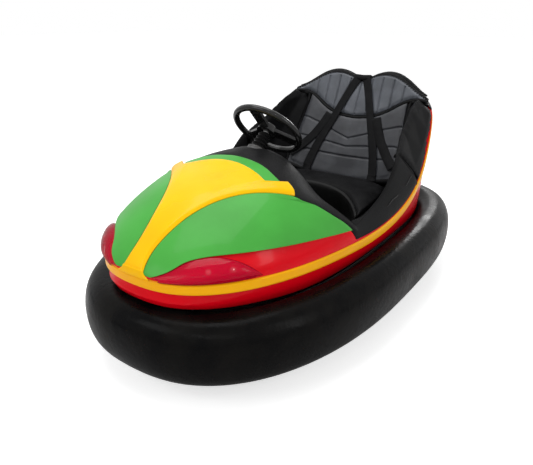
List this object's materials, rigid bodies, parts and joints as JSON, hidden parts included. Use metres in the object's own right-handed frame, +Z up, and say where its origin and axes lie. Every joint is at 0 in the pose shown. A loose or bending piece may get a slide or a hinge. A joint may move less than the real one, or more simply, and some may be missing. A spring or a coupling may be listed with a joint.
{
  "type": "bumper car",
  "caption": "Fairground bumper car for two riders: ring bumper tube, moulded body, bench seat with backrest, and a steering wheel that swivels the drive wheel below.",
  "frame": {"origin": "on the floor below the middle of the bumper tube's outline", "axes": "+Z up, -Y forward at the nose, +X to the car's left"},
  "size_m": [1.15, 1.95, 0.9105],
  "materials": {
    "tube_rubber": "glossy black rubber",
    "tyre_rubber": "matt solid rubber",
    "body_red": "glossy red glass-fibre moulding",
    "belt_yellow": "glossy orange-yellow",
    "panel_green": "glossy green",
    "crest_yellow": "glossy yellow",
    "lens_red": "clear crimson lens",
    "vinyl_black": "black vinyl with a soft sheen",
    "vinyl_grey": "dark grey vinyl",
    "moulded_black": "black moulding",
    "webbing_black": "black woven webbing",
    "frame_steel": "black painted steel",
    "zinc_steel": "plated steel"
  },
  "bodies": {
    "car_body": {"bumper_tube": "tube_rubber", "bumper_band": "frame_steel", "floor_pan": "frame_steel", "frame": "frame_steel", "rear_axle": "zinc_steel", "drive_ring": "zinc_steel", "body_shell": "body_red", "belt_strip": "belt_yellow", "bonnet_panel_l": "panel_green", "bonnet_panel_r": "panel_green", "bonnet_crest": "crest_yellow", "bonnet_crescent": "panel_green", "lamp_lens_l": "lens_red", "lamp_lens_r": "lens_red", "coaming": "vinyl_black", "footwell_tub": "moulded_black", "bench": "moulded_black", "seat_cushion": "vinyl_black", "backrest_lower": "vinyl_grey", "backrest_upper": "vinyl_grey", "bolster_l": "vinyl_black", "bolster_r": "vinyl_black", "seat_shell": "body_red", "column_boot": "moulded_black", "column_bearing": "frame_steel", "battery_block": "moulded_black", "pedal": "zinc_steel", "shoulder_belt_l": "webbing_black", "shoulder_belt_r": "webbing_black"},
    "drive_unit": {"drive_fork": "frame_steel", "drive_motor": "frame_steel"},
    "drive_wheel": {"drive_wheel_tyre": "tyre_rubber", "drive_wheel_hub": "zinc_steel"},
    "rear_wheel_left": {"rear_wheel_l_tyre": "tyre_rubber", "rear_wheel_l_hub": "zinc_steel"},
    "rear_wheel_right": {"rear_wheel_r_tyre": "tyre_rubber", "rear_wheel_r_hub": "zinc_steel"},
    "steering": {"steering_wheel": "vinyl_black", "steering_column": "zinc_steel"}
  },
  "joints": [
    {"name": "drive_swivel", "type": "hinge", "parent": "car_body", "child": "drive_unit", "pos_m": [0, -0.45, 0.15], "axis": [0, 0, 1], "continuous": true},
    {"name": "drive_wheel_spin", "type": "hinge", "parent": "drive_unit", "child": "drive_wheel", "pos_m": [0, -0.45, 0.1], "axis": [1, 0, 0], "continuous": true},
    {"name": "rear_wheel_left_spin", "type": "hinge", "parent": "car_body", "child": "rear_wheel_left", "pos_m": [0.3, 0.45, 0.1], "axis": [1, 0, 0], "continuous": true},
    {"name": "rear_wheel_right_spin", "type": "hinge", "parent": "car_body", "child": "rear_wheel_right", "pos_m": [-0.3, 0.45, 0.1], "axis": [1, 0, 0], "continuous": true},
    {"name": "steering_turn", "type": "hinge", "parent": "car_body", "child": "steering", "pos_m": [0, -0.176, 0.748], "axis": [0, 0.7169, 0.6972], "continuous": true}
  ],
  "couplings": [
    {"joint": "steering_turn", "follows": "drive_swivel", "ratio": 1}
  ]
}
